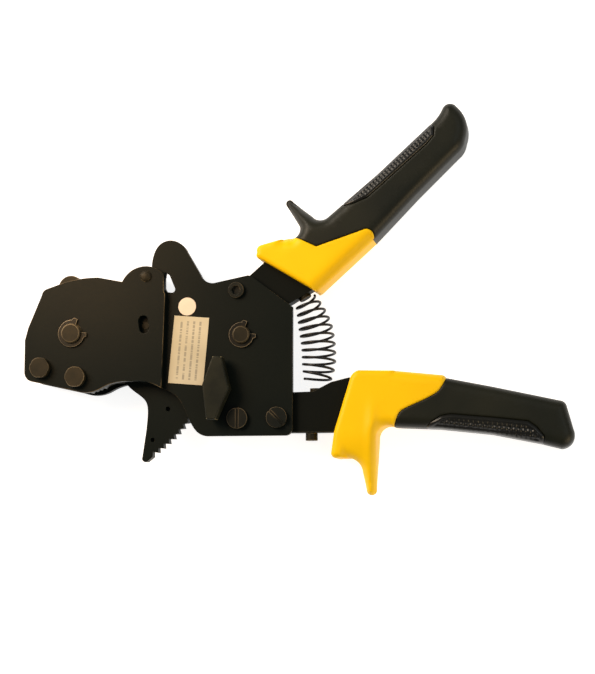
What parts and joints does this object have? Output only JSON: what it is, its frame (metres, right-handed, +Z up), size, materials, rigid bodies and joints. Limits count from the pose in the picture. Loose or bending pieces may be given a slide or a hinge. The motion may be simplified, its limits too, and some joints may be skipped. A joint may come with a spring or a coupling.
{
  "type": "ratchet pipe cutter",
  "caption": "One-hand ratchet cutter for plastic pipe: plated steel head and frame, toothed swinging blade, release knob, coil return spring and two moulded grips.",
  "frame": {"origin": "centre of the overall box, on the plane that the tool lies on", "axes": "+Z up through the thickness of the tool, +X from the nose to the handles, +Y towards the moving upper handle"},
  "size_m": [0.2745, 0.1932, 0.0301],
  "materials": {
    "black_steel": "black oxide, satin",
    "hardened_steel": "dark ground steel",
    "dark_fastener": "black oxide with a brown tinge",
    "spring_steel": "oil-blackened spring steel",
    "bronze": "plain bearing bronze",
    "bright_plug": "bright, satin",
    "label_film": "printed cream film",
    "knob_casting": "black painted casting",
    "yellow_plastic": "satin yellow",
    "black_rubber": "soft black over-moulding",
    "black_rubber_panel": "textured black over-moulding"
  },
  "bodies": {
    "frame": {"frame_plate_front": "black_steel", "frame_plate_rear": "black_steel", "head_plate_front": "black_steel", "head_plate_rear": "black_steel", "pipe_rest": "hardened_steel", "nose_bolts": "dark_fastener", "nose_nuts": "dark_fastener", "top_roller": "dark_fastener", "top_roller_pin": "dark_fastener", "blade_pivot_pin": "dark_fastener", "blade_pivot_clip_front": "spring_steel", "blade_pivot_clip_rear": "spring_steel", "handle_pivot_pin": "dark_fastener", "handle_pivot_clip_front": "spring_steel", "handle_pivot_clip_rear": "spring_steel", "blade_washers": "dark_fastener", "blade_stop_pin": "dark_fastener", "lobe_rivet": "dark_fastener", "lobe_spacer": "dark_fastener", "plate_plug": "bright_plug", "frame_screws": "dark_fastener", "frame_nuts": "dark_fastener", "stop_screw": "dark_fastener", "stop_spacer": "dark_fastener", "instruction_label": "label_film", "return_spring": "spring_steel", "lower_arm": "black_steel", "lower_guard": "yellow_plastic", "lower_grip": "black_rubber", "lower_grip_insert": "black_rubber_panel", "spring_seat_lower": "dark_fastener", "adjusting_screw": "dark_fastener"},
    "blade": {"toothed_blade": "black_steel", "blade_bush": "bronze"},
    "release": {"release_knob": "knob_casting", "knob_shaft": "dark_fastener", "holding_pawl": "hardened_steel", "knob_spring": "spring_steel"},
    "upper_handle": {"upper_arm": "black_steel", "upper_guard": "yellow_plastic", "upper_grip": "black_rubber", "upper_grip_insert": "black_rubber_panel", "pawl_pin": "dark_fastener", "spring_seat_upper": "dark_fastener", "drive_pawl_spring": "spring_steel"},
    "drive_pawl": {"drive_pawl": "hardened_steel"}
  },
  "joints": [
    {"name": "handle_squeeze", "type": "hinge", "parent": "frame", "child": "upper_handle", "pos_m": [-0.02552, -0.01687, 0.014], "axis": [0, 0, 1], "range_deg": [-30, 0], "stiffness_Nm_per_rad": 1.2, "springref_deg": 20.05, "deforming": ["return_spring"]},
    {"name": "drive_pawl_swing", "type": "hinge", "parent": "upper_handle", "child": "drive_pawl", "pos_m": [-0.02212, -0.02787, 0.014], "axis": [0, 0, 1], "range_deg": [0, 51]},
    {"name": "blade_swing", "type": "hinge", "parent": "frame", "child": "blade", "pos_m": [-0.11242, -0.01497, 0.014], "axis": [0, 0, 1], "range_deg": [-11.08, 22.16]},
    {"name": "release_turn", "type": "hinge", "parent": "frame", "child": "release", "pos_m": [-0.03632, -0.04397, 0.014], "axis": [0, 0, 1], "range_deg": [-3, 25], "stiffness_Nm_per_rad": 0.05, "deforming": ["knob_spring"]}
  ],
  "couplings": [
    {"joint": "drive_pawl_swing", "follows": "handle_squeeze", "ratio": -1.684}
  ]
}
